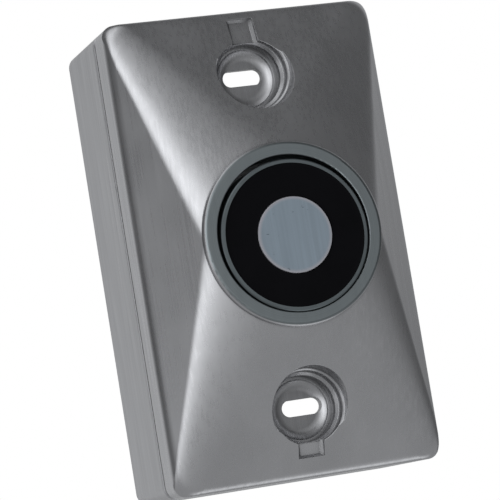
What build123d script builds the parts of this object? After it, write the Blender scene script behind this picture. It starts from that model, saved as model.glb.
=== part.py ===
from build123d import *
import math
import os

# Electromagnetic door holder, wall unit, surface mounted.
# Every piece is modelled on the bench: X to the right, Y up and Z straight out of the wall,
# with the wall plane at Z = 0. export() turns the bench frame into the part's own frame:
# +X right seen from the front, +Z up, front towards -Y, wall plane at Y = 0.
# All lengths are millimetres. A "level" is a distance out of the wall plane.

# ---- housing -------------------------------------------------------------------------
plate_width = 69.5
plate_height = 117.3
corner_radius = 3.2
wall = 2.2
frame_depth = 28.6  # rear frame, wall plane to parting line
rim_level = 38.3  # where the skirt meets the sloping faces
side_rounding = 6.0  # radius of the rim along the two long sides
end_rounding = 2.0  # radius of the rim along the top and the bottom
parting_bevel = 0.3
parting_groove = (1.5, 0.9)  # height and depth of the shadow line in the rear frame
inner_shoulder_level = 36.4  # where the hollow leaves the skirt for the sloping faces
inner_corner_radius = 1.4

# ---- magnet opening in the cover -----------------------------------------------------
opening_radius = 19.2
collar_radius = 22.6
collar_base_level = 53.3
collar_top_level = 54.9
collar_flat_radius = 21.75  # the lip rounds over outside this
lip_radius = 22.72
lip_skirt = 0.6  # how far the lip reaches below the collar's base
lip_edge_rounding = 0.3  # inner edge
sleeve_radius = 21.8
sleeve_level = 45.0
sleeve_flare = 3.0  # the sleeve widens to the lip over this height
inner_collar_radius = 20.2
inner_collar_level = 50.6

# ---- mounting screw wells ------------------------------------------------------------
slot_spacing = 83.34  # 3 9/32 in, single-gang device box
slot_length = 10.3
slot_width = 4.1
slot_rise = 0.55  # both slots stand this far above the middle of their wells
upper_slot_shift = -0.3  # and each a little to one side
lower_slot_shift = 1.0
well_floor_level = 35.6
well_floor_thickness = 2.0
well_boss_radius = 11.3
# Radius, the level it starts from, and the bevel where it meets the next, wider step.
well_steps = [(7.2, 35.6, 0.35), (8.2, 36.8, 0.7), (9.1, 40.6, 0.4), (9.8, 43.4, 0)]
well_dish = 2.5  # the floor curves up to the first step over this width
notch_width = 6.7
notch_depth = 2.0  # where it leaves the well
notch_end_depth = 1.0
notch_bevel = 0.75  # round the notch's floor
notch_overlap = 2.0  # how far the notch starts inside the well's rim
upper_notch_reach = 5.0
lower_notch_reach = 2.3

# ---- electromagnet -------------------------------------------------------------------
pole_level = 55.6
magnet_drop = 0.55  # the magnet hangs this far below the middle of its opening
pot_radius = 18.6
pot_bore_radius = 17.6
pot_back_level = 24.0
pot_base = 4.0
core_radius = 9.525
face_bevel = 0.25
fit_gap = 0.05
core_thread_radius = 2.1
core_thread_depth = 12.0
core_screw_clearance = 2.7  # radius of the hole for it
core_washer = (4.4, 2.6, 1.2)  # outer radius, inner radius, thickness
grommet_radius = 2.6
grommet_flange_radius = 3.3
grommet_bore_radius = 1.75
coil_exit_radius = 2.2  # pocket in the winding where its wires leave
coil_exit_height = 2.5
bobbin_barrel = 1.0
bobbin_flange = 1.2
bobbin_flange_radius = 17.0
bobbin_top_level = 51.0
winding_radius = 16.2
wrap_thickness = 0.5
potting_back_level = 51.2
potting_sink = 0.12

# ---- bracket that carries the magnet -------------------------------------------------
bracket_width = 48.0
bracket_height = 60.0
bracket_thickness = 2.0
bracket_level = pot_back_level - bracket_thickness
bracket_flange_height = 6.0
post_offset = 25.4
post_radius = 3.3
post_hole_radius = 1.75
post_hole_depth = 12.0
bracket_corner = 3.0
bracket_flange_length = 46.0
bracket_screw_radius = 1.7
lead_hole = (12.5, 8.0)
lead_hole_radius = 3.6
sheet_thickness = 0.5
sheet_height = 42.0
sheet_clearance = 0.3  # round whatever passes through the sheet

# ---- circuit board -------------------------------------------------------------------
board_width = 46.0
board_height = 44.0
board_thickness = 1.6
board_level = 12.0  # component side, which faces the magnet
board_hole_offsets = (20.0, 17.0)
board_hole_radius = 1.6
standoff_across_flats = 5.5
standoff_rivet_radius = 1.9
board_screw_radius = 1.35
terminal_offset = -11.0
terminal_pitch = 6.5
terminal_ways = 3

# ---- corner screws and ground lug ----------------------------------------------------
corner_boss_offsets = (28.9, 52.7)
corner_boss_radius = 4.3
corner_head_level = 20.0
corner_hole_top_level = 35.4
corner_counterbore_radius = 3.2
corner_clearance_radius = 1.8
corner_thread_radius = 1.65
ground_centre = (26.0, -38.0)
ground_lug_level = 9.0
ground_lug_thickness = 4.0
ground_lug_width = 10.0
ground_thread_radius = 2.1


def disc(radius, low, high, at=(0, 0)):
    """Round bar along Z between two levels."""
    centre = (at[0], at[1], (low + high) / 2)
    return Pos(*centre) * Cylinder(radius, high - low)


def tube(outer, inner, low, high, at=(0, 0)):
    """Round tube along Z between two levels."""
    return disc(outer, low, high, at) - disc(inner, low - 1, high + 1, at)


def block(width, height, low, high, at=(0, 0)):
    """Rectangular block between two levels."""
    centre = (at[0], at[1], (low + high) / 2)
    return Pos(*centre) * Box(width, height, high - low)


def slab(width, height, radius, low, high, at=(0, 0)):
    """Rectangular block with rounded upright corners."""
    outline = Pos(at[0], at[1], low) * RectangleRounded(width, height, radius)
    return extrude(outline, high - low)


def four_corners(offsets):
    return [(x * offsets[0], y * offsets[1]) for x in (-1, 1) for y in (-1, 1)]


def edges_at_level(part, level):
    """Edges that lie flat at one level."""
    flat = part.edges().filter_by_position(Axis.Z, level - 0.01, level + 0.01)
    return flat


def screw(head_radius, head_height, shank_radius, seat_level, tip_level, at, drive="cross"):
    """Machine screw driven from the wall side: its head ends at seat_level."""
    low = seat_level - head_height
    head = disc(head_radius, low, seat_level, at)
    head = fillet(edges_at_level(head, low), min(0.8, head_height * 0.4))
    shank = disc(shank_radius, seat_level - 0.2, tip_level, at)
    shank = chamfer(edges_at_level(shank, tip_level), shank_radius * 0.3)
    recess_depth = head_height * 0.55
    if drive == "hex":
        socket = Pos(at[0], at[1], low) * RegularPolygon(head_radius * 0.55, 6)
        recess = extrude(socket, recess_depth)
    else:
        arm = head_radius * 1.15
        thick = head_radius * 0.26
        recess = block(arm, thick, low - 0.1, low + recess_depth, at)
        recess += block(thick, arm, low - 0.1, low + recess_depth, at)
    return head + shank - recess


def side_inset(level, run, rise, rounding):
    """How far a side has moved in at a level: upright skirt, rounded rim, sloping face."""
    turn = math.atan2(run, rise)
    start = rim_level - rounding * math.tan(turn / 2)
    if level <= start:
        return 0.0
    if level >= start + rounding * math.sin(turn):
        return (level - rim_level) * run / rise
    return rounding - math.sqrt(rounding**2 - (level - start) ** 2)


def rim_outlines(steps=9):
    """Outlines that carry the skirt over its rounded rim on to the sloping faces."""
    run_x = plate_width / 2 - collar_radius
    run_y = plate_height / 2 - collar_radius
    rise = collar_base_level - rim_level
    starts, ends = [], []
    for run, rounding in ((run_x, side_rounding), (run_y, end_rounding)):
        turn = math.atan2(run, rise)
        starts.append(rim_level - rounding * math.tan(turn / 2))
        ends.append(starts[-1] + rounding * math.sin(turn))
    start, end = min(starts), max(ends)
    growth = (collar_radius - corner_radius) / (collar_base_level - start)
    outlines = []
    for step in range(steps):
        level = start + (end - start) * math.sin(math.pi / 2 * step / (steps - 1))
        width = plate_width - 2 * side_inset(level, run_x, rise, side_rounding)
        height = plate_height - 2 * side_inset(level, run_y, rise, end_rounding)
        radius = corner_radius + growth * (level - start)
        outlines.append(Pos(0, 0, level) * RectangleRounded(width, height, radius))
    return outlines


def round_end(radius, level):
    """Near-circle with four very short flats, so that each sloping face stays flat."""
    across = 2 * radius + 0.2
    return Pos(0, 0, level) * RectangleRounded(across, across, radius)


def outer_body():
    """Skirt, rounded rim, then four flat faces and four cone corners that turn it to round."""
    outlines = rim_outlines()
    rim_start = outlines[0].center().Z
    skirt = slab(plate_width, plate_height, corner_radius, frame_depth, rim_start)
    rim = loft(outlines)
    dome = loft([outlines[-1], round_end(collar_radius, collar_base_level)], ruled=True)
    return skirt + rim + dome


def hollow_body():
    """Space inside the cover: the same form, smaller by the wall thickness."""
    width = plate_width - 2 * wall
    height = plate_height - 2 * wall
    skirt = slab(width, height, inner_corner_radius, frame_depth - 1, inner_shoulder_level)
    outline = Pos(0, 0, inner_shoulder_level) * RectangleRounded(width, height, inner_corner_radius)
    top = round_end(inner_collar_radius, inner_collar_level)
    return skirt + loft([outline, top], ruled=True)


def end_face_level(y):
    """Level of the upper or lower sloping face at a distance y from the middle."""
    run = plate_height / 2 - collar_radius
    rise = collar_base_level - rim_level
    return rim_level + rise * (plate_height / 2 - abs(y)) / run


def well_cutters(side, slot_shift, notch_reach):
    """Stepped well, the slot in its floor and the shallow notch beyond it, up (1) or down (-1)."""
    foot_radius, _, foot_bevel = well_steps[0]
    foot_level = well_steps[1][1] - foot_bevel
    dish_start = (foot_radius - well_dish, well_floor_level)
    dish = TangentArc(dish_start, (foot_radius, foot_level), tangent=(1, 0))
    outline = [(foot_radius, foot_level), (foot_radius + foot_bevel, foot_level + foot_bevel)]
    levels = [low for _, low, _ in well_steps[2:]] + [collar_top_level]
    for (radius, low, bevel), high in zip(well_steps[1:], levels):
        outline.append((radius, low))
        outline.append((radius, high - bevel))
        if bevel > 0:
            outline.append((radius + bevel, high))
    outline += [(0, collar_top_level), (0, well_floor_level), dish_start]
    profile = Plane.XZ * make_face(Wire([dish] + Polyline(*outline).edges()))
    at = (0, side * slot_spacing / 2)
    well = Pos(at[0], at[1], 0) * revolve(profile, Axis.Z)
    slot_at = (slot_shift, at[1] + slot_rise)
    slot_end = slot_width / 2 - 0.001
    slot_top = well_steps[1][1]
    slot = slab(slot_length, slot_width, slot_end, well_floor_level - 5, slot_top, slot_at)
    inner = slot_spacing / 2 + well_steps[-1][0] - notch_overlap
    outer = slot_spacing / 2 + well_steps[-1][0] + notch_reach
    corners = [
        (inner, end_face_level(inner) - notch_depth),
        (outer, end_face_level(outer) - notch_end_depth),
        (outer, end_face_level(outer) + 3),
        (inner, end_face_level(inner) + 3),
    ]
    points = [(0, side * along, level) for along, level in corners]
    profile = make_face(Polyline(*points, close=True))
    notch = extrude(profile, notch_width / 2, dir=(1, 0, 0), both=True)
    notch = chamfer(notch.faces().sort_by(Axis.Z)[0].edges(), notch_bevel)
    return [well, slot, notch]


def quarter_round(centre, radius, start, end):
    """Quarter circle in a profile, between two of the directions right, up, left and down."""
    middle = (centre[0] + radius * (start[0] + end[0]) * 0.70711,
              centre[1] + radius * (start[1] + end[1]) * 0.70711)
    first = (centre[0] + radius * start[0], centre[1] + radius * start[1])
    last = (centre[0] + radius * end[0], centre[1] + radius * end[1])
    return ThreePointArc(first, middle, last)


def collar():
    """Rounded lip round the opening, with the short sleeve behind it."""
    lip_round = lip_radius - collar_flat_radius
    lip_foot = collar_base_level - lip_skirt
    lip_level = collar_top_level - lip_round
    edge_start = opening_radius + lip_edge_rounding
    edge_level = collar_top_level - lip_edge_rounding
    outline = [
        Line((opening_radius, sleeve_level), (sleeve_radius, sleeve_level)),
        Line((sleeve_radius, sleeve_level), (sleeve_radius, collar_base_level - sleeve_flare)),
        Line((sleeve_radius, collar_base_level - sleeve_flare), (lip_radius, lip_foot)),
        Line((lip_radius, lip_foot), (lip_radius, lip_level)),
        quarter_round((collar_flat_radius, lip_level), lip_round, (1, 0), (0, 1)),
        Line((collar_flat_radius, collar_top_level), (edge_start, collar_top_level)),
        quarter_round((edge_start, edge_level), lip_edge_rounding, (0, 1), (-1, 0)),
        Line((opening_radius, edge_level), (opening_radius, sleeve_level)),
    ]
    profile = Plane.XZ * make_face(Wire(outline))
    return revolve(profile, Axis.Z)


def post_places():
    """The two posts in the cover that carry the magnet bracket."""
    return [(0, post_offset - magnet_drop), (0, -post_offset - magnet_drop)]


def cover():
    outer = chamfer(edges_at_level(outer_body(), frame_depth), parting_bevel)
    shell = outer - hollow_body()
    solid_bits = [
        disc(well_boss_radius, well_floor_level - well_floor_thickness, 60, (0, y))
        for y in (slot_spacing / 2, -slot_spacing / 2)
    ]
    solid_bits += [disc(post_radius, pot_back_level, 60, at) for at in post_places()]
    solid_bits += [
        disc(corner_boss_radius, frame_depth, 60, at) for at in four_corners(corner_boss_offsets)
    ]
    for bit in solid_bits:
        shell += bit & outer
    shell += collar()
    shell -= disc(opening_radius, sleeve_level - 6, 60)
    cutters = well_cutters(1, upper_slot_shift, upper_notch_reach)
    cutters += well_cutters(-1, lower_slot_shift, lower_notch_reach)
    for cutter in cutters:
        shell -= cutter
    for at in post_places():
        shell -= disc(post_hole_radius, pot_back_level - 1, pot_back_level + post_hole_depth, at)
    for at in four_corners(corner_boss_offsets):
        shell -= disc(corner_thread_radius, frame_depth - 1, corner_hole_top_level, at)
    return shell


def rear_frame():
    groove_height, groove_depth = parting_groove
    groove_level = frame_depth - groove_height
    lip_width = plate_width - 2 * groove_depth
    lip_height = plate_height - 2 * groove_depth
    ring = slab(plate_width, plate_height, corner_radius, 0, groove_level)
    ring = chamfer(edges_at_level(ring, groove_level), parting_bevel)
    ring += slab(lip_width, lip_height, corner_radius - groove_depth, groove_level - 1, frame_depth)
    inner_width = plate_width - 2 * wall
    inner_height = plate_height - 2 * wall
    ring -= slab(inner_width, inner_height, inner_corner_radius, -1, frame_depth + 1)
    limit = slab(lip_width, lip_height, corner_radius - groove_depth, 0, frame_depth)
    for at in four_corners(corner_boss_offsets):
        ring += disc(corner_boss_radius, 0, frame_depth, at) & limit
    lug_inner = ground_centre[0] - ground_lug_width / 2
    lug_outer = plate_width / 2 - 1
    ring += block(
        lug_outer - lug_inner,
        ground_lug_width,
        ground_lug_level,
        ground_lug_level + ground_lug_thickness,
        ((lug_outer + lug_inner) / 2, ground_centre[1]),
    )
    for at in four_corners(corner_boss_offsets):
        ring -= disc(corner_counterbore_radius, -1, corner_head_level, at)
        ring -= disc(corner_clearance_radius, -1, frame_depth + 1, at)
    ring -= disc(ground_thread_radius, 0, frame_depth, ground_centre)
    return ring


def pot_shell():
    """Open-fronted steel cup: the outer pole of the magnet."""
    cup = disc(pot_radius, pot_back_level, pole_level)
    cup = chamfer(edges_at_level(cup, pole_level), face_bevel)
    cup -= disc(pot_bore_radius, pot_back_level + pot_base, pole_level + 1)
    cup -= disc(core_screw_clearance, pot_back_level - 1, pot_back_level + pot_base + 1)
    return cup - disc(grommet_radius, pot_back_level - 1, pot_back_level + pot_base + 1, lead_hole)


def pole_core():
    """Steel core: the inner pole, tapped from the back."""
    low = pot_back_level + pot_base
    core = disc(core_radius, low, pole_level)
    core = chamfer(edges_at_level(core, pole_level), face_bevel)
    return core - disc(core_thread_radius, low - 1, low + core_thread_depth)


def coil_bobbin():
    low = pot_back_level + pot_base
    bore = core_radius + fit_gap
    spool = tube(bore + bobbin_barrel, bore, low, bobbin_top_level)
    spool += tube(bobbin_flange_radius, bore, low, low + bobbin_flange)
    spool += tube(bobbin_flange_radius, bore, bobbin_top_level - bobbin_flange, bobbin_top_level)
    return spool - disc(coil_exit_radius, low - 1, low + bobbin_flange + 0.5, lead_hole)


def winding_span():
    low = pot_back_level + pot_base + bobbin_flange
    return low, bobbin_top_level - bobbin_flange


def coil_winding():
    low, high = winding_span()
    barrel = core_radius + fit_gap + bobbin_barrel
    exit_pocket = disc(coil_exit_radius, low - 1, low + coil_exit_height, lead_hole)
    return tube(winding_radius, barrel, low, high) - exit_pocket


def coil_wrap():
    low, high = winding_span()
    exit_pocket = disc(coil_exit_radius, low - 1, low + coil_exit_height, lead_hole)
    return tube(winding_radius + wrap_thickness, winding_radius, low, high) - exit_pocket


def potting_ring():
    """Black compound that seals the coil, just under the pole faces."""
    return tube(
        pot_bore_radius - fit_gap, core_radius + fit_gap, potting_back_level, pole_level - potting_sink
    )


def lead_grommet():
    high = pot_back_level + pot_base
    body = disc(grommet_radius - fit_gap, pot_back_level, high, lead_hole)
    body += disc(grommet_flange_radius, pot_back_level - 0.8, pot_back_level, lead_hole)
    return body - disc(grommet_bore_radius, pot_back_level - 1, high + 1, lead_hole)


def magnet_bracket():
    """Pressed steel plate behind the magnet with two stiffening flanges."""
    plate = slab(bracket_width, bracket_height, bracket_corner, bracket_level, pot_back_level)
    for side in (-1, 1):
        at = (side * (bracket_width - bracket_thickness) / 2, 0)
        top = pot_back_level + bracket_flange_height
        plate += block(bracket_thickness, bracket_flange_length, bracket_level, top, at)
    holes = [(core_screw_clearance, (0, 0)), (lead_hole_radius, lead_hole)]
    holes += [(bracket_screw_radius + 0.2, (0, y)) for y in (post_offset, -post_offset)]
    holes += [(standoff_rivet_radius + fit_gap, at) for at in four_corners(board_hole_offsets)]
    for radius, at in holes:
        plate -= disc(radius, bracket_level - 1, pot_back_level + 1, at)
    return plate


def core_screw():
    seat = bracket_level - core_washer[2]
    tip = pot_back_level + pot_base + 10
    return screw(4.2, 4.0, core_thread_radius - fit_gap, seat, tip, (0, 0), "hex")


def core_lock_washer():
    """Split spring washer, shown closed."""
    outer, inner, thickness = core_washer
    washer = tube(outer, inner, bracket_level - thickness, bracket_level)
    return washer - block(6, 0.5, 0, 60, (5, 0))


def bracket_screws():
    places = [(0, post_offset), (0, -post_offset)]
    tip = pot_back_level + 10
    return [screw(3.0, 2.2, bracket_screw_radius, bracket_level, tip, at) for at in places]


def insulating_sheet():
    sheet = slab(board_width, sheet_height, 2, bracket_level - sheet_thickness, bracket_level)
    holes = [(5.2, (0, 0)), (lead_hole_radius + sheet_clearance, lead_hole)]
    holes += [(standoff_across_flats * 0.6, at) for at in four_corners(board_hole_offsets)]
    for radius, at in holes:
        sheet -= disc(radius, 0, 60, at)
    return sheet


def board_standoffs():
    """Hexagonal pillars riveted into the bracket, tapped for the board screws."""
    pillars = []
    for at in four_corners(board_hole_offsets):
        outline = Pos(at[0], at[1], board_level)
        outline *= RegularPolygon(standoff_across_flats / 2, 6, major_radius=False)
        pillar = extrude(outline, bracket_level - board_level)
        pillar += disc(standoff_rivet_radius, bracket_level - 0.5, pot_back_level - 0.1, at)
        pillars.append(pillar - disc(board_screw_radius + fit_gap, board_level - 1, board_level + 6, at))
    return pillars


def circuit_board():
    low = board_level - board_thickness
    board = slab(board_width, board_height, 2, low, board_level)
    for at in four_corners(board_hole_offsets):
        board -= disc(board_hole_radius, low - 1, board_level + 1, at)
    return board


def board_screws():
    seat = board_level - board_thickness
    places = four_corners(board_hole_offsets)
    return [screw(2.7, 1.8, board_screw_radius, seat, board_level + 4.5, at) for at in places]


def bridge_rectifier():
    """Square rectifier on four short legs."""
    at = (-11, 8)
    body = slab(9.5, 9.5, 1, board_level + 1, board_level + 6.5, at)
    body -= disc(1.5, board_level, board_level + 7, at)
    for dx, dy in four_corners((3.4, 3.4)):
        body += disc(0.4, board_level, board_level + 1.2, (at[0] + dx, at[1] + dy))
    return body


def surge_varistor():
    """Coated disc standing on two legs."""
    x, y = -13, -10
    radius, thick = 3.7, 3.6
    centre_level = board_level + 1 + radius
    coin = Pos(x, y, centre_level) * Rot(90, 0, 0) * Cylinder(radius, thick)
    coin = fillet(coin.edges().filter_by(GeomType.CIRCLE), 1.0)
    for dx in (-2.0, 2.0):
        coin += disc(0.4, board_level, centre_level - 2, (x + dx, y))
    return coin


def dropping_resistor():
    """Axial resistor lying along X with its wires bent down to the board."""
    x, y = 9, -13
    radius, half = 2.1, 6.0
    level = board_level + 0.4 + radius
    body = Pos(x, y, level) * Rot(0, 90, 0) * Cylinder(radius, 2 * half)
    body = fillet(body.edges().filter_by(GeomType.CIRCLE), 0.7)
    for side in (-1, 1):
        path = FilletPolyline(
            (x + side * (half - 0.5), y, level),
            (x + side * (half + 2.2), y, level),
            (x + side * (half + 2.2), y, board_level),
            radius=1.0,
        )
        body += sweep(Plane(path @ 0, z_dir=path % 0) * Circle(0.35), path=path)
    return body


def terminal_places():
    first = -(terminal_ways - 1) / 2
    return [((first + i) * terminal_pitch, terminal_offset) for i in range(terminal_ways)]


def terminal_block():
    """Screw terminal for the supply wires, facing the wall."""
    high = board_level - board_thickness
    low = high - 9.0
    width = terminal_ways * terminal_pitch + 1.5
    body = block(width, 9.6, low, high, (0, terminal_offset))
    body = chamfer(body.edges().group_by(Axis.Z)[0].filter_by(Axis.X), 1.0)
    for x, y in terminal_places():
        body -= disc(2.35, low - 1, low + 4.6, (x, y))
        body -= block(4.4, 12.0, low + 4.4, low + 8.0, (x, y - 3.0))
    return body


def terminal_screws():
    seat = board_level - board_thickness - 9.0 + 3.2
    return [screw(2.2, 2.2, 1.2, seat, seat + 3.4, at) for at in terminal_places()]


def terminal_clamps():
    """Small steel cages that pull each wire against its contact."""
    low = board_level - board_thickness - 9.0 + 4.5
    clamps = []
    for x, y in terminal_places():
        cage = block(4.2, 5.0, low, low + 3.4, (x, y - 0.4))
        cage -= block(3.0, 6.0, low + 0.7, low + 2.7, (x, y - 0.4))
        clamps.append(cage - disc(1.3, low - 1, low + 3.0, (x, y)))
    return clamps


def coil_lead(side):
    """One insulated coil wire, from the winding through the grommet to the board."""
    x, y = lead_hole[0] + side * 0.85, lead_hole[1]
    pad_x, pad_y = x + 2.2 + side * 1.4, y + 1.6
    route = [
        (x, y, pot_back_level + pot_base + 1.6),
        (x, y, 20.6),
        (pad_x, pad_y, 16.2),
        (pad_x, pad_y, board_level),
    ]
    path = FilletPolyline(*route, radius=4.0)
    return sweep(Plane(path @ 0, z_dir=path % 0) * Circle(0.65), path=path)


def ground_screw():
    """Hexagon washer-head grounding screw."""
    seat = ground_lug_level
    hexagon = Pos(ground_centre[0], ground_centre[1], seat - 2.8) * RegularPolygon(3.2, 6)
    head = extrude(hexagon, 2.0) + disc(4.2, seat - 0.9, seat, ground_centre)
    shank = disc(2.05, seat - 0.2, seat + 8, ground_centre)
    slot = block(9, 0.9, seat - 3, seat - 1.7, ground_centre)
    return head + shank - slot


def frame_screws():
    places = four_corners(corner_boss_offsets)
    return [screw(2.9, 2.2, 1.6, corner_head_level, corner_hole_top_level - 0.5, at) for at in places]


def export(name, pieces, drop):
    """Turn bench pieces into the part's frame, lowered by drop, and write one STEP file."""
    pieces = pieces if isinstance(pieces, list) else [pieces]
    place = Rot(90, 0, 0) * Pos(0, -drop, 0)
    solids = [solid for piece in pieces for solid in (place * piece).solids()]
    shape = solids[0] if len(solids) == 1 else Compound(children=solids)
    export_step(shape, f"parts/{name}.step")


NODES = {
    "cover": cover,
    "rear_frame": rear_frame,
    "pot_shell": pot_shell,
    "pole_core": pole_core,
    "coil_bobbin": coil_bobbin,
    "coil_winding": coil_winding,
    "coil_wrap": coil_wrap,
    "potting_ring": potting_ring,
    "lead_grommet": lead_grommet,
    "magnet_bracket": magnet_bracket,
    "core_screw": core_screw,
    "core_lock_washer": core_lock_washer,
    "bracket_screws": bracket_screws,
    "insulating_sheet": insulating_sheet,
    "board_standoffs": board_standoffs,
    "circuit_board": circuit_board,
    "board_screws": board_screws,
    "bridge_rectifier": bridge_rectifier,
    "surge_varistor": surge_varistor,
    "dropping_resistor": dropping_resistor,
    "terminal_block": terminal_block,
    "terminal_screws": terminal_screws,
    "terminal_clamps": terminal_clamps,
    "coil_lead_red": lambda: coil_lead(1),
    "coil_lead_black": lambda: coil_lead(-1),
    "ground_screw": ground_screw,
    "frame_screws": frame_screws,
}

# The housing is centred on the plate. Everything else hangs on the bracket and so sits lower.
HOUSING = ["cover", "rear_frame", "ground_screw", "frame_screws"]

os.makedirs("parts", exist_ok=True)
for node, make in NODES.items():
    export(node, make(), 0 if node in HOUSING else magnet_drop)
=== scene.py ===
"""Looks of the surface-mounted electromagnetic door holder: materials, small details, light, camera."""
import math

import bmesh
import bpy
from mathutils import Matrix, Vector


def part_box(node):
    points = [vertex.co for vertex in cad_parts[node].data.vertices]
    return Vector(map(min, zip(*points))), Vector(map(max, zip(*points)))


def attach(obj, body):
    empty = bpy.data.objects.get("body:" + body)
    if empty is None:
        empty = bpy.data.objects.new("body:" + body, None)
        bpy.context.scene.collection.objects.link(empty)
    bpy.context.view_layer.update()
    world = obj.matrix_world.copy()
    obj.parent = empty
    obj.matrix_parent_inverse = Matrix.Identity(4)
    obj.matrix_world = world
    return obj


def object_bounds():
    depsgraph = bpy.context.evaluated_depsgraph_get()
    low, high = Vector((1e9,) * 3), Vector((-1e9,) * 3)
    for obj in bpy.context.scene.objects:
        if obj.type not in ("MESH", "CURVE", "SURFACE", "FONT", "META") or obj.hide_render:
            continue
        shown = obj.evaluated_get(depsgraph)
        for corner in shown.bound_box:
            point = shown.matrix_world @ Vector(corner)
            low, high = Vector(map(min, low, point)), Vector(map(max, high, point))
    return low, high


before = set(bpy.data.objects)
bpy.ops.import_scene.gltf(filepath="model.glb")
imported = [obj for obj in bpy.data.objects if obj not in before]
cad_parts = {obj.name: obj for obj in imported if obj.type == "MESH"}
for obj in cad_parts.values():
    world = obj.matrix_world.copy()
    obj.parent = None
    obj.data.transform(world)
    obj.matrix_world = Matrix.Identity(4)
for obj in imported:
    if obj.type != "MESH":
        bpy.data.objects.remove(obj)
cad_low, cad_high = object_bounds()

MM = 0.001

# ---- camera and studio -------------------------------------------------------------
CAMERA_AZIMUTH = -17.8  # degrees; negative is to the object's left
CAMERA_ELEVATION = -5.6
CAMERA_ROLL = 9.3  # the object's top leans to the left
CAMERA_DISTANCE = 676 * MM
CAMERA_LENS = 194.0  # focal length in millimetres
AIM_OFFSET = Vector((-2.8, 0.9, 0.1)) * MM  # from the middle of the object
FLOOR_DROP = 0.60  # metres from the object's lowest point to the floor
FLOOR_SIZE = 5.0  # metres along a side
FLOOR_GLOW = 0.30
LIGHT_TINT = (0.97, 0.985, 1.0, 1.0)
ROOM_LIGHT = 0.13  # what the metal sees above the horizon, besides the soft lights
GROUND_LIGHT = 0.37  # what the metal sees below the horizon, as bright as a pale studio floor
HORIZON = (-0.30, -0.22)  # the change from ground to room, as the height of the direction
# Soft round lights: where each stands seen from the object (right, back, up), how far it
# spreads in degrees, and how bright it is.
SOFT_LIGHTS = [
    ((-0.60, -0.80, 0.05), 38, 1.50),  # key, left in front
    ((0.00, -1.00, 0.00), 38, 0.62),  # front
    ((-0.25, -0.80, 0.55), 38, 0.18),  # above the front
    ((-0.45, -0.30, 0.85), 38, 0.78),  # upper left
    ((-0.70, -0.55, 0.45), 38, 0.20),  # between the key and the upper left
    ((-0.90, 0.00, -0.45), 38, 0.77),  # low left
    ((0.00, 1.00, 0.00), 42, 0.50),  # behind
    ((0.70, 0.50, 0.50), 42, 0.29),  # upper right, behind
]
GROUND_LIGHTS = [
    ((0.30, -0.10, -0.95), 28, 0.60),  # the floor is brightest below the object
]

# ---- where finishes and painted shade begin and end --------------------------------
PAINTED_SHADE_REACH = 9 * MM  # satin metal is painted darker, as shade, where something stands this close
# how dark the painted shade makes the colour in hollows and on the well floors
PAINTED_SHADE_FACTOR = 0.26
FINISH_FADE = 0.2 * MM  # width of the change from satin to turned metal
LIP_HEIGHT = 0.1 * MM  # how deep the turned finish reaches down the rounded lip
BORE_RADIUS = 19.4 * MM  # the cover is turned inside this radius
WELL_OFFSET = 41.67 * MM  # from the middle to the axis of each screw well
WELL_FLOOR_FADE = (4.6 * MM, 6.4 * MM)  # the painted shade on a well's floor ends between these radii
WELL_FLOOR_FRONT = (-38.0 * MM, -37.0 * MM)  # and between these depths
# how strongly the painted shade darkens the well floors
WELL_FLOOR_PAINTED_SHADE = 0.75
CORE_FACE_RADIUS = 9.5 * MM
CORE_LIGHT_EDGE = 1.1 * MM
WIRE_PITCH = 0.35 * MM

# ---- small pieces on the circuit board ---------------------------------------------
BRIDGE_PIN_OFFSET = 3.4 * MM  # from the middle of the rectifier, both ways
VARISTOR_PIN_OFFSET = 2.0 * MM
RESISTOR_LEAD_OFFSET = 8.2 * MM
TERMINAL_PITCH = 6.5 * MM
COIL_LEAD_RADIUS = 0.65 * MM
TRACK_WIDTH = 1.3 * MM
TRACK_THICKNESS = 0.04 * MM
# Solder joint as (radius, height) in millimetres, from the board up to the clipped wire.
SOLDER_CONE = [
    (1.05, -0.05),
    (1.0, 0.06),
    (0.72, 0.25),
    (0.5, 0.6),
    (0.38, 0.95),
    (0.3, 1.15),
    (0.02, 1.2),
    (0.02, -0.05),
]
RESISTOR_RADIUS = 2.1 * MM
# Section of a painted band as (radius, place along the body), in millimetres.
BAND_SECTION = [(2.0, -0.5), (2.13, -0.45), (2.15, 0.0), (2.13, 0.45), (2.0, 0.5)]


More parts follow.
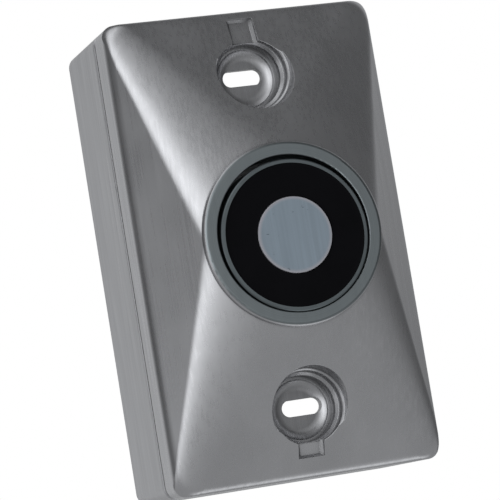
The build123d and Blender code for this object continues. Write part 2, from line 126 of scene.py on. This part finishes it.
# ---- node helpers ------------------------------------------------------------------
class Graph:
    """A material's node tree with short calls for adding and joining nodes."""

    def __init__(self, name):
        self.material = bpy.data.materials.new(name)
        self.material.use_nodes = True
        self.tree = self.material.node_tree
        self.shader = self.tree.nodes["Principled BSDF"]

    def add(self, kind, inputs=None, **settings):
        node = self.tree.nodes.new("ShaderNode" + kind)
        for key, value in settings.items():
            setattr(node, key, value)
        for key, value in (inputs or {}).items():
            self.put(node, key, value)
        return node

    def put(self, node, key, value):
        """Set an input to a constant, or link it to another node's output."""
        socket = node.inputs[key]
        if isinstance(value, bpy.types.NodeSocket):
            self.tree.links.new(value, socket)
        else:
            socket.default_value = value

    def surface(self, **values):
        """Set the shader's sockets; an underscore stands for a space."""
        for key, value in values.items():
            self.put(self.shader, key.replace("_", " "), value)

    def where(self):
        """The object's own coordinates in metres."""
        return self.add("TexCoord").outputs["Object"]

    def noise(self, scale, detail=3.0, roughness=0.55):
        """Noise with a scale per axis, in cycles per metre."""
        vector = self.add("Mapping", {"Vector": self.where(), "Scale": scale}).outputs["Vector"]
        inputs = {"Vector": vector, "Scale": 1.0, "Detail": detail, "Roughness": roughness}
        return self.add("TexNoise", inputs).outputs["Fac"]

    def span(self, value, low, high, out_low=0.0, out_high=1.0):
        """Map a number from one range to another, clamped."""
        limits = {"From Min": low, "From Max": high, "To Min": out_low, "To Max": out_high}
        return self.add("MapRange", {"Value": value, **limits}).outputs["Result"]

    def math(self, operation, first, second=0.0):
        return self.add("Math", {0: first, 1: second}, operation=operation).outputs[0]

    def vector(self, operation, first, second):
        return self.add("VectorMath", {0: first, 1: second}, operation=operation)

    def mix(self, factor, first, second):
        """Blend two colours."""
        node = self.add("Mix", {"Factor": factor}, data_type="RGBA")
        self.put(node, 6, first)
        self.put(node, 7, second)
        return node.outputs[2]

    def bump(self, height, distance, strength=1.0, normal=None):
        inputs = {"Height": height, "Distance": distance, "Strength": strength}
        if normal is not None:
            inputs["Normal"] = normal
        return self.add("Bump", inputs).outputs["Normal"]

    def from_axis(self, centre):
        """Distance from the line along Y through centre."""
        offset = self.vector("SUBTRACT", self.where(), centre).outputs[0]
        flat = self.vector("MULTIPLY", offset, (1, 0, 1)).outputs[0]
        return self.add("VectorMath", {0: flat}, operation="LENGTH").outputs["Value"]

    def rings(self, radius, pitch):
        """Fine concentric tool marks: noise that changes with the radius alone."""
        along = self.math("MULTIPLY", radius, 1 / pitch)
        node = self.add("TexNoise", {"W": along, "Scale": 1.0, "Detail": 3.0}, noise_dimensions="1D")
        return node.outputs["Fac"]

    def hollows(self, distance):
        """0 deep in a recess, 1 in the open."""
        return self.add("AmbientOcclusion", {"Distance": distance}, samples=8).outputs["AO"]


def rgb(red, green, blue):
    return (red, green, blue, 1.0)


def shade(colour, factor):
    return (colour[0] * factor, colour[1] * factor, colour[2] * factor, 1.0)


# ---- materials ---------------------------------------------------------------------
def brushed(g, colour, roughness, grain=(1500, 1500, 30), depth=0.010 * MM):
    """Satin metal with a fine grain, soft blotches and painted shade in hollows: colour, roughness,
    normal.
    """
    lines = g.noise(grain, detail=4)
    blotch = g.noise((70, 70, 45), detail=4)
    tone = g.mix(g.span(blotch, 0.35, 0.65), shade(colour, 0.95), shade(colour, 1.04))
    tone = g.mix(g.span(lines, 0.3, 0.7, 0.0, 0.3), tone, shade(colour, 0.82))
    # painted shade: the colour darkens where ambient occlusion finds something close
    tone = g.mix(g.span(g.hollows(PAINTED_SHADE_REACH), 0.35, 0.88), shade(colour, PAINTED_SHADE_FACTOR), tone)
    rough = g.math("ADD", g.span(lines, 0.3, 0.7, roughness - 0.05, roughness + 0.05),
                   g.span(blotch, 0.3, 0.7, -0.025, 0.025))
    soft_edges = g.add("Bevel", {"Radius": 0.2 * MM}, samples=4).outputs["Normal"]
    return tone, rough, g.bump(lines, depth, 0.6, soft_edges)


def cover_metal(name, colour, lip_colour, roughness):
    """Satin cover: darker turned rings on the lip round the magnet, painted shade on the floors of the
    wells.
    """
    g = Graph(name)
    tone, rough, relief = brushed(g, colour, roughness)
    depth = g.add("SeparateXYZ", {0: g.where()}).outputs["Y"]
    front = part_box("cover")[0].y
    radius = g.from_axis((0, 0, 0))
    on_lip = g.span(depth, front + LIP_HEIGHT, front + LIP_HEIGHT + FINISH_FADE, 1.0, 0.0)
    in_bore = g.span(radius, BORE_RADIUS, BORE_RADIUS + FINISH_FADE, 1.0, 0.0)
    turned = g.math("MAXIMUM", on_lip, in_bore)
    rings = g.rings(radius, 0.18 * MM)
    # painted shade on the well floors: a mask round each well's axis, behind the floor's front
    from_upper, from_lower = (g.from_axis((0, 0, z)) for z in (WELL_OFFSET, -WELL_OFFSET))
    from_well = g.math("MINIMUM", from_upper, from_lower)
    near_axis = g.span(from_well, *WELL_FLOOR_FADE, 1.0, 0.0)
    at_floor = g.math("MULTIPLY", near_axis, g.span(depth, *WELL_FLOOR_FRONT))
    floor_shade = g.math("MULTIPLY", at_floor, WELL_FLOOR_PAINTED_SHADE)
    tone = g.mix(floor_shade, tone, shade(colour, PAINTED_SHADE_FACTOR))
    lip_tone = g.mix(g.span(rings, 0.3, 0.7), shade(lip_colour, 0.85), shade(lip_colour, 1.1))
    tone = g.mix(turned, tone, lip_tone)
    rough = g.math("ADD", rough, g.math("MULTIPLY", turned, 0.08))
    g.surface(Base_Color=tone, Metallic=1.0, Roughness=rough, Normal=relief)
    return g.material


def brushed_metal(name, colour, roughness):
    g = Graph(name)
    tone, rough, relief = brushed(g, colour, roughness)
    g.surface(Base_Color=tone, Metallic=1.0, Roughness=rough, Normal=relief)
    return g.material


def ground_steel(name, colour, edge_colour, roughness, radius, edge):
    """Pole face ground in one direction, lighter towards its edge, with a few dark nicks."""
    g = Graph(name)
    low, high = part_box("pole_core")
    centre = (low + high) / 2
    lines = g.noise((900, 900, 12), detail=5, roughness=0.7)
    broad = g.noise((300, 300, 40), detail=2)
    nicks = g.noise((420, 420, 900), detail=2)
    from_axis = g.from_axis(tuple(centre))
    tone = g.mix(g.span(lines, 0.3, 0.7), shade(colour, 0.88), shade(colour, 1.10))
    tone = g.mix(g.span(broad, 0.4, 0.65, 0.0, 0.5), tone, shade(colour, 0.84))
    # lighter ring towards the edge of the face
    tone = g.mix(g.span(from_axis, radius - edge, radius - 0.3 * edge), tone, edge_colour)
    tone = g.mix(g.span(nicks, 0.70, 0.76), tone, shade(colour, 0.35))
    rough = g.span(lines, 0.3, 0.7, roughness - 0.05, roughness + 0.07)
    relief = g.bump(lines, 0.008 * MM, 0.6)
    g.surface(Base_Color=tone, Metallic=1.0, Roughness=rough, Normal=relief)
    return g.material


def turned_steel(name, colour, roughness):
    """Cup of the magnet: rings from the lathe on its face and walls."""
    g = Graph(name)
    low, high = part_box("pot_shell")
    rings = g.rings(g.from_axis(tuple((low + high) / 2)), 0.12 * MM)
    stain = g.noise((160, 160, 160), detail=4)
    tone = g.mix(g.span(rings, 0.3, 0.7), shade(colour, 0.8), shade(colour, 1.12))
    tone = g.mix(g.span(stain, 0.5, 0.7, 0.0, 0.5), tone, shade(colour, 0.7))
    rough = g.span(rings, 0.3, 0.7, roughness - 0.05, roughness + 0.08)
    g.surface(Base_Color=tone, Metallic=1.0, Roughness=rough, Normal=g.bump(rings, 0.01 * MM, 0.5))
    return g.material


def plain_metal(name, colour, roughness):
    """Plated hardware: fine speckle, light scuffs, painted shade in recesses."""
    g = Graph(name)
    speck = g.noise((900, 900, 900), detail=4)
    scuff = g.noise((250, 40, 250), detail=6, roughness=0.7)
    tone = g.mix(g.span(scuff, 0.45, 0.7), colour, shade(colour, 0.72))
    # painted shade: darker where ambient occlusion finds a recess
    tone = g.mix(g.span(g.hollows(1.5 * MM), 0.3, 0.9), shade(colour, 0.35), tone)
    rough = g.span(speck, 0.3, 0.7, roughness - 0.06, roughness + 0.08)
    g.surface(Base_Color=tone, Metallic=1.0, Roughness=rough, Normal=g.bump(speck, 0.01 * MM, 0.5))
    return g.material


def moulded(name, colour, roughness, texture=700.0, depth=0.02, specular=0.5):
    """Plastic, rubber, resin or paint with a fine surface texture."""
    g = Graph(name)
    fine = g.noise((texture, texture, texture), detail=4)
    broad = g.noise((70, 70, 70), detail=2)
    tone = g.mix(g.span(broad, 0.35, 0.65), shade(colour, 0.88), shade(colour, 1.08))
    rough = g.span(fine, 0.3, 0.7, roughness - 0.06, roughness + 0.06)
    g.surface(Base_Color=tone, Roughness=rough, Specular_IOR_Level=specular,
              Normal=g.bump(fine, depth * MM, 0.6))
    return g.material


def board_laminate(name, colour):
    """Green solder mask over a woven glass board, whose bare edge is pale yellow."""
    g = Graph(name)
    low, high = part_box("circuit_board")
    weave = g.noise((1100, 200, 1100), detail=2)
    broad = g.noise((90, 90, 90), detail=2)
    tone = g.mix(g.span(weave, 0.35, 0.65), shade(colour, 0.8), shade(colour, 1.15))
    tone = g.mix(g.span(broad, 0.4, 0.65, 0.0, 0.4), tone, shade(colour, 0.7))
    normal = g.add("NewGeometry").outputs["Normal"]
    across = g.math("ABSOLUTE", g.add("SeparateXYZ", {0: normal}).outputs["Y"])
    tone = g.mix(g.span(across, 0.4, 0.6), rgb(0.42, 0.38, 0.18), tone)
    rough = g.span(weave, 0.3, 0.7, 0.26, 0.38)
    g.surface(Base_Color=tone, Roughness=rough, Normal=g.bump(weave, 0.01 * MM, 0.5))
    return g.material


def wound_wire(name, colour):
    """Enamelled wire laid in turns along the axis, with painted shade in the grooves between turns."""
    g = Graph(name)
    depth = g.add("SeparateXYZ", {0: g.where()}).outputs["Y"]
    turns = g.math("SINE", g.math("MULTIPLY", depth, 2 * math.pi / WIRE_PITCH))
    # painted shade: the colour darkens in the groove between neighbouring turns
    tone = g.mix(g.span(turns, -0.9, 0.2), shade(colour, 0.3), colour)
    g.surface(Base_Color=tone, Metallic=0.8, Roughness=0.3, Normal=g.bump(turns, 0.08 * MM))
    return g.material


# ---- assignment --------------------------------------------------------------------
def paint(node, material):
    """Give a CAD node its material in every slot."""
    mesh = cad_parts[node].data
    mesh.materials.clear()
    mesh.materials.append(material)


STEEL_SCREW = plain_metal("zinc_plate", rgb(0.70, 0.71, 0.72), 0.26)
PRESSED_STEEL = plain_metal("pressed_steel", rgb(0.62, 0.63, 0.64), 0.36)
TINNED = plain_metal("tinned_solder", rgb(0.72, 0.72, 0.73), 0.22)
FINISHES = {
    "cover": cover_metal("satin_cover", rgb(0.590, 0.590, 0.605), rgb(0.235, 0.262, 0.272), 0.29),
    "rear_frame": brushed_metal("satin_frame", rgb(0.585, 0.585, 0.60), 0.33),
    "pot_shell": turned_steel("turned_pot", rgb(0.165, 0.19, 0.20), 0.36),
    "pole_core": ground_steel(
        "ground_core",
        rgb(0.35, 0.42, 0.485),
        rgb(0.50, 0.50, 0.54),
        0.34,
        CORE_FACE_RADIUS,
        CORE_LIGHT_EDGE,
    ),
    "potting_ring": moulded("potting", rgb(0.003, 0.003, 0.004), 0.6, specular=0.06),
    "coil_bobbin": moulded("nylon", rgb(0.80, 0.77, 0.66), 0.5),
    "coil_winding": wound_wire("enamelled_copper", rgb(0.62, 0.26, 0.12)),
    "coil_wrap": moulded("polyester_tape", rgb(0.80, 0.60, 0.10), 0.35),
    "lead_grommet": moulded("grommet_rubber", rgb(0.015, 0.015, 0.015), 0.6),
    "magnet_bracket": PRESSED_STEEL,
    "core_screw": STEEL_SCREW,
    "core_lock_washer": STEEL_SCREW,
    "bracket_screws": STEEL_SCREW,
    "insulating_sheet": moulded("fish_paper", rgb(0.42, 0.10, 0.06), 0.7, 1500, 0.03),
    "board_standoffs": PRESSED_STEEL,
    "circuit_board": board_laminate("board_mask", rgb(0.012, 0.14, 0.045)),
    "board_screws": STEEL_SCREW,
    "bridge_rectifier": moulded("epoxy_black", rgb(0.02, 0.02, 0.022), 0.5),
    "surge_varistor": moulded("varistor_blue", rgb(0.02, 0.09, 0.35), 0.35),
    "dropping_resistor": moulded("resistor_body", rgb(0.30, 0.46, 0.48), 0.35),
    "terminal_block": moulded("terminal_green", rgb(0.02, 0.17, 0.06), 0.45),
    "terminal_screws": STEEL_SCREW,
    "terminal_clamps": PRESSED_STEEL,
    "coil_lead_red": moulded("lead_red", rgb(0.45, 0.015, 0.01), 0.4),
    "coil_lead_black": moulded("lead_black", rgb(0.012, 0.012, 0.012), 0.4),
    "ground_screw": moulded("ground_green", rgb(0.01, 0.17, 0.03), 0.3),
    "frame_screws": STEEL_SCREW,
}
for node, material in FINISHES.items():
    paint(node, material)


# ---- small pieces ------------------------------------------------------------------
def finish_piece(name, bm, material, sharp=40):
    """Make an object from a bmesh, shade it and let it ride on the one body."""
    bmesh.ops.recalc_face_normals(bm, faces=bm.faces)
    mesh = bpy.data.meshes.new(name)
    bm.to_mesh(mesh)
    bm.free()
    for face in mesh.polygons:
        face.use_smooth = True
    mesh.set_sharp_from_angle(angle=math.radians(sharp))
    mesh.materials.append(material)
    piece = bpy.data.objects.new(name, mesh)
    bpy.context.scene.collection.objects.link(piece)
    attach(piece, "root")


def lathe(bm, profile, origin, segments, axis="Y"):
    """Revolve (radius, along) points round an axis through origin; the profile closes itself."""
    loops = []
    for step in range(segments):
        turn = 2 * math.pi * step / segments
        loop = []
        for radius, along in profile:
            across = (radius * math.cos(turn), radius * math.sin(turn))
            spot = (across[0], along, across[1]) if axis == "Y" else (along, across[0], across[1])
            loop.append(bm.verts.new(origin + Vector(spot)))
        loops.append(loop)
    count = len(profile)
    for step in range(segments):
        here, there = loops[step], loops[(step + 1) % segments]
        for i in range(count):
            j = (i + 1) % count
            bm.faces.new((here[i], here[j], there[j], there[i]))


def solder_joint(bm, x, z, face, outward):
    """Small cone of solder round a clipped wire end."""
    profile = [(radius * MM, outward * along * MM) for radius, along in SOLDER_CONE]
    lathe(bm, profile, Vector((x, face, z)), segments=20)


def ribbon(bm, points, width, face, thickness):
    """Flat copper track through (x, z) points with mitred corners, standing on a face."""
    left, right = [], []
    for i, point in enumerate(points):
        before = (point - points[i - 1]).normalized() if i > 0 else None
        after = (points[i + 1] - point).normalized() if i + 1 < len(points) else None
        along = ((before or after) + (after or before)).normalized()
        side = Vector((-along.y, along.x)) * width / 2
        if before is not None and after is not None:
            side /= max(0.5, along.dot(before))
        left.append(point + side)
        right.append(point - side)
    outline = left + right[::-1]
    top = [bm.verts.new((p.x, face + thickness, p.y)) for p in outline]
    base = [bm.verts.new((p.x, face - thickness, p.y)) for p in outline]
    count = len(points)
    for verts in (top, base):
        for i in range(count - 1):
            quad = (verts[i], verts[i + 1], verts[2 * count - 2 - i], verts[2 * count - 1 - i])
            bm.faces.new(quad)
    for i in range(2 * count):
        j = (i + 1) % (2 * count)
        bm.faces.new((top[i], top[j], base[j], base[i]))


def middle_of(node):
    low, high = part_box(node)
    return (low + high) / 2


def board_details():
    """Solder joints and tracks on the side of the board that faces the wall."""
    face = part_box("circuit_board")[1].y
    hidden_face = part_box("circuit_board")[0].y
    bridge, varistor = middle_of("bridge_rectifier"), middle_of("surge_varistor")
    resistor, block = middle_of("dropping_resistor"), middle_of("terminal_block")
    pads = {}
    for side_x, name_x in ((-1, "left"), (1, "right")):
        for side_z, name_z in ((-1, "low"), (1, "high")):
            x = bridge.x + side_x * BRIDGE_PIN_OFFSET
            pads[f"bridge_{name_z}_{name_x}"] = (x, bridge.z + side_z * BRIDGE_PIN_OFFSET)
        pads[f"varistor_{name_x}"] = (varistor.x + side_x * VARISTOR_PIN_OFFSET, varistor.z)
    pads["resistor_right"] = (resistor.x + RESISTOR_LEAD_OFFSET, resistor.z)
    for colour in ("red", "black"):
        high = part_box(f"coil_lead_{colour}")[1]
        pads[colour] = (high.x - COIL_LEAD_RADIUS, high.z - COIL_LEAD_RADIUS)
    bm = bmesh.new()
    for x, z in pads.values():
        solder_joint(bm, x, z, face, 1)
    for step in (-1, 0, 1):
        solder_joint(bm, block.x + step * TERMINAL_PITCH, block.z, hidden_face, -1)
    finish_piece("solder_joints", bm, TINNED, 60)

    def at(name, dx=0.0, dz=0.0):
        """A pad, or a point beside it, in millimetres to the right and up."""
        return Vector((pads[name][0] + dx * MM, pads[name][1] + dz * MM))

    def at_block(dx, dz):
        return Vector((block.x + dx * MM, block.z + dz * MM))

    tracks = [
        [
            at("bridge_low_left"),
            at("bridge_low_left", 0, -5),
            at("varistor_left", 0, 4),
            at("varistor_left"),
        ],
        [
            at("bridge_low_right"),
            at("bridge_low_right", 0, -6),
            at("varistor_right", 0, 5),
            at("varistor_right"),
        ],
        [
            at("bridge_high_right"),
            at("bridge_high_right", 3, 3),
            at("black", -4, 4.8),
            at("black"),
        ],
        [
            at("bridge_high_left"),
            at("bridge_high_left", 0, 4),
            at("bridge_high_left", 4, 8),
            at("red", -4, 9.8),
            at("red", 0, 6),
            at("red"),
        ],
        [at("varistor_left"), at("varistor_left", 2, -3), at_block(-9, -3)],
        [at("varistor_right"), at("varistor_right", 1.5, 0.8), at_block(-6, 2)],
        [
            at("resistor_right"),
            at("resistor_right", 0, 4.5),
            at("resistor_right", -3, 7.5),
            at_block(5, 4),
        ],
    ]
    bm = bmesh.new()
    for track in tracks:
        ribbon(bm, track, TRACK_WIDTH, face, TRACK_THICKNESS)
    masked_copper = moulded("masked_copper", rgb(0.03, 0.25, 0.07), 0.3)
    finish_piece("copper_tracks", bm, masked_copper)


def resistor_bands():
    """Coloured value bands painted round the resistor's body."""
    centre = middle_of("dropping_resistor")
    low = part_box("dropping_resistor")[0]
    origin = Vector((centre.x, low.y + RESISTOR_RADIUS, centre.z))
    bands = [  # place along the body in millimetres, and colour
        (-3.8, rgb(0.35, 0.10, 0.02)),
        (-2.0, rgb(0.01, 0.01, 0.01)),
        (-0.2, rgb(0.60, 0.12, 0.01)),
        (3.4, rgb(0.45, 0.28, 0.04)),
    ]
    for number, (place, colour) in enumerate(bands, start=1):
        profile = [(radius * MM, (place + along) * MM) for radius, along in BAND_SECTION]
        bm = bmesh.new()
        lathe(bm, profile, origin, segments=40, axis="X")
        paint_film = moulded(f"band_{number}", colour, 0.35)
        finish_piece(f"resistor_band_{number}", bm, paint_film)


def potting_meniscus():
    """Surface of the black compound, drawn up a little where it wets the steel."""
    low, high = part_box("potting_ring")
    centre = (low + high) / 2
    margin = 0.07 * MM  # the film stays this far off the core and off the outer edge
    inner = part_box("pole_core")[1].x + margin
    outer = high.x - margin
    level = low.y - centre.y
    lift = 0.01 * MM  # stands this far in front of the CAD face
    sunk = 0.3 * MM  # and ends this far behind it
    rise = 0.09 * MM  # climb at the steel, which dies away over the reach
    reach = 0.45 * MM
    steps = 32
    top = []
    for step in range(steps + 1):
        radius = inner + (outer - inner) * step / steps
        from_wall = min(radius - inner, outer - radius)
        top.append((radius, level - rise * math.exp(-from_wall / reach) - lift))
    profile = [(outer, level + sunk), (inner, level + sunk)] + top
    bm = bmesh.new()
    lathe(bm, profile, centre, segments=96)
    finish_piece("potting_surface", bm, FINISHES["potting_ring"])


board_details()
resistor_bands()
potting_meniscus()


# ---- studio ------------------------------------------------------------------------
def light_sum(tree, where, even, lights):
    """Even light plus soft round patches, as a brightness for each direction."""
    make, link = tree.nodes.new, tree.links.new
    total = None
    for direction, spread, strength in lights:
        facing = make("ShaderNodeVectorMath")
        facing.operation = "DOT_PRODUCT"
        facing.inputs[1].default_value = Vector(direction).normalized()
        link(where, facing.inputs[0])
        soft = make("ShaderNodeMapRange")
        soft.interpolation_type = "SMOOTHSTEP"
        soft.inputs["From Min"].default_value = math.cos(math.radians(spread))
        soft.inputs["To Max"].default_value = strength
        link(facing.outputs["Value"], soft.inputs["Value"])
        add = make("ShaderNodeMath")
        add.inputs[1].default_value = even
        if total is not None:
            link(total, add.inputs[1])
        link(soft.outputs["Result"], add.inputs[0])
        total = add.outputs[0]
    return total


def lighting_dome():
    """Room and ground, each with its soft lights, far away; the camera sees plain white."""
    world = bpy.data.worlds.new("studio")
    bpy.context.scene.world = world
    world.use_nodes = True
    tree = world.node_tree
    tree.nodes.clear()
    make, link = tree.nodes.new, tree.links.new
    where = make("ShaderNodeTexCoord").outputs["Generated"]
    height = make("ShaderNodeSeparateXYZ")
    link(where, height.inputs[0])
    above = make("ShaderNodeMapRange")
    above.interpolation_type = "SMOOTHSTEP"
    above.inputs["From Min"].default_value = HORIZON[0]
    above.inputs["From Max"].default_value = HORIZON[1]
    link(height.outputs["Z"], above.inputs["Value"])
    halves = make("ShaderNodeMix")
    link(above.outputs["Result"], halves.inputs["Factor"])
    link(light_sum(tree, where, GROUND_LIGHT, GROUND_LIGHTS), halves.inputs["A"])
    link(light_sum(tree, where, ROOM_LIGHT, SOFT_LIGHTS), halves.inputs["B"])
    light = make("ShaderNodeBackground")
    white = make("ShaderNodeBackground")
    light.inputs["Color"].default_value = LIGHT_TINT
    white.inputs["Color"].default_value = rgb(1, 1, 1)
    link(halves.outputs["Result"], light.inputs["Strength"])
    choose = make("ShaderNodeMixShader")
    link(make("ShaderNodeLightPath").outputs["Is Camera Ray"], choose.inputs["Fac"])
    link(light.outputs[0], choose.inputs[1])
    link(white.outputs[0], choose.inputs[2])
    link(choose.outputs[0], make("ShaderNodeOutputWorld").inputs[0])


def floor_paint():
    """Even pale paint, a little brighter than the soft light alone would leave it."""
    g = Graph("floor_paint")
    grain = g.noise((300, 300, 300), detail=2)
    tone = g.mix(g.span(grain, 0.3, 0.7), rgb(0.86, 0.86, 0.86), rgb(0.90, 0.90, 0.90))
    g.surface(
        Base_Color=tone,
        Roughness=0.8,
        Emission_Color=rgb(1, 1, 1),
        Emission_Strength=FLOOR_GLOW,
    )
    return g.material


def pale_floor(centre):
    """Square floor below the object."""
    mesh = bpy.data.meshes.new("floor")
    half = FLOOR_SIZE / 2
    corners = [(-half, -half), (half, -half), (half, half), (-half, half)]
    level = cad_low.z - FLOOR_DROP
    mesh.from_pydata([(centre.x + x, centre.y + y, level) for x, y in corners], [], [(0, 1, 2, 3)])
    floor = bpy.data.objects.new("floor", mesh)
    mesh.materials.append(floor_paint())
    floor.visible_glossy = False  # the metal mirrors the dome's own ground instead
    bpy.context.scene.collection.objects.link(floor)


def camera(target):
    """Camera at the photograph's viewing angle."""
    azimuth, elevation = math.radians(CAMERA_AZIMUTH), math.radians(CAMERA_ELEVATION)
    back = Vector((
        math.sin(azimuth) * math.cos(elevation),
        -math.cos(azimuth) * math.cos(elevation),
        math.sin(elevation),
    ))
    data = bpy.data.cameras.new("camera")
    data.lens = CAMERA_LENS
    data.clip_end = 50  # metres
    eye = bpy.data.objects.new("camera", data)
    turn = (-back).to_track_quat("-Z", "Y").to_matrix()
    roll = Matrix.Rotation(math.radians(-CAMERA_ROLL), 3, "Z")
    eye.matrix_world = Matrix.Translation(target + back * CAMERA_DISTANCE) @ (turn @ roll).to_4x4()
    bpy.context.scene.collection.objects.link(eye)
    bpy.context.scene.camera = eye


middle = (cad_low + cad_high) / 2
lighting_dome()
pale_floor(middle)
camera(middle + AIM_OFFSET)
bpy.context.scene.view_settings.view_transform = "Standard"
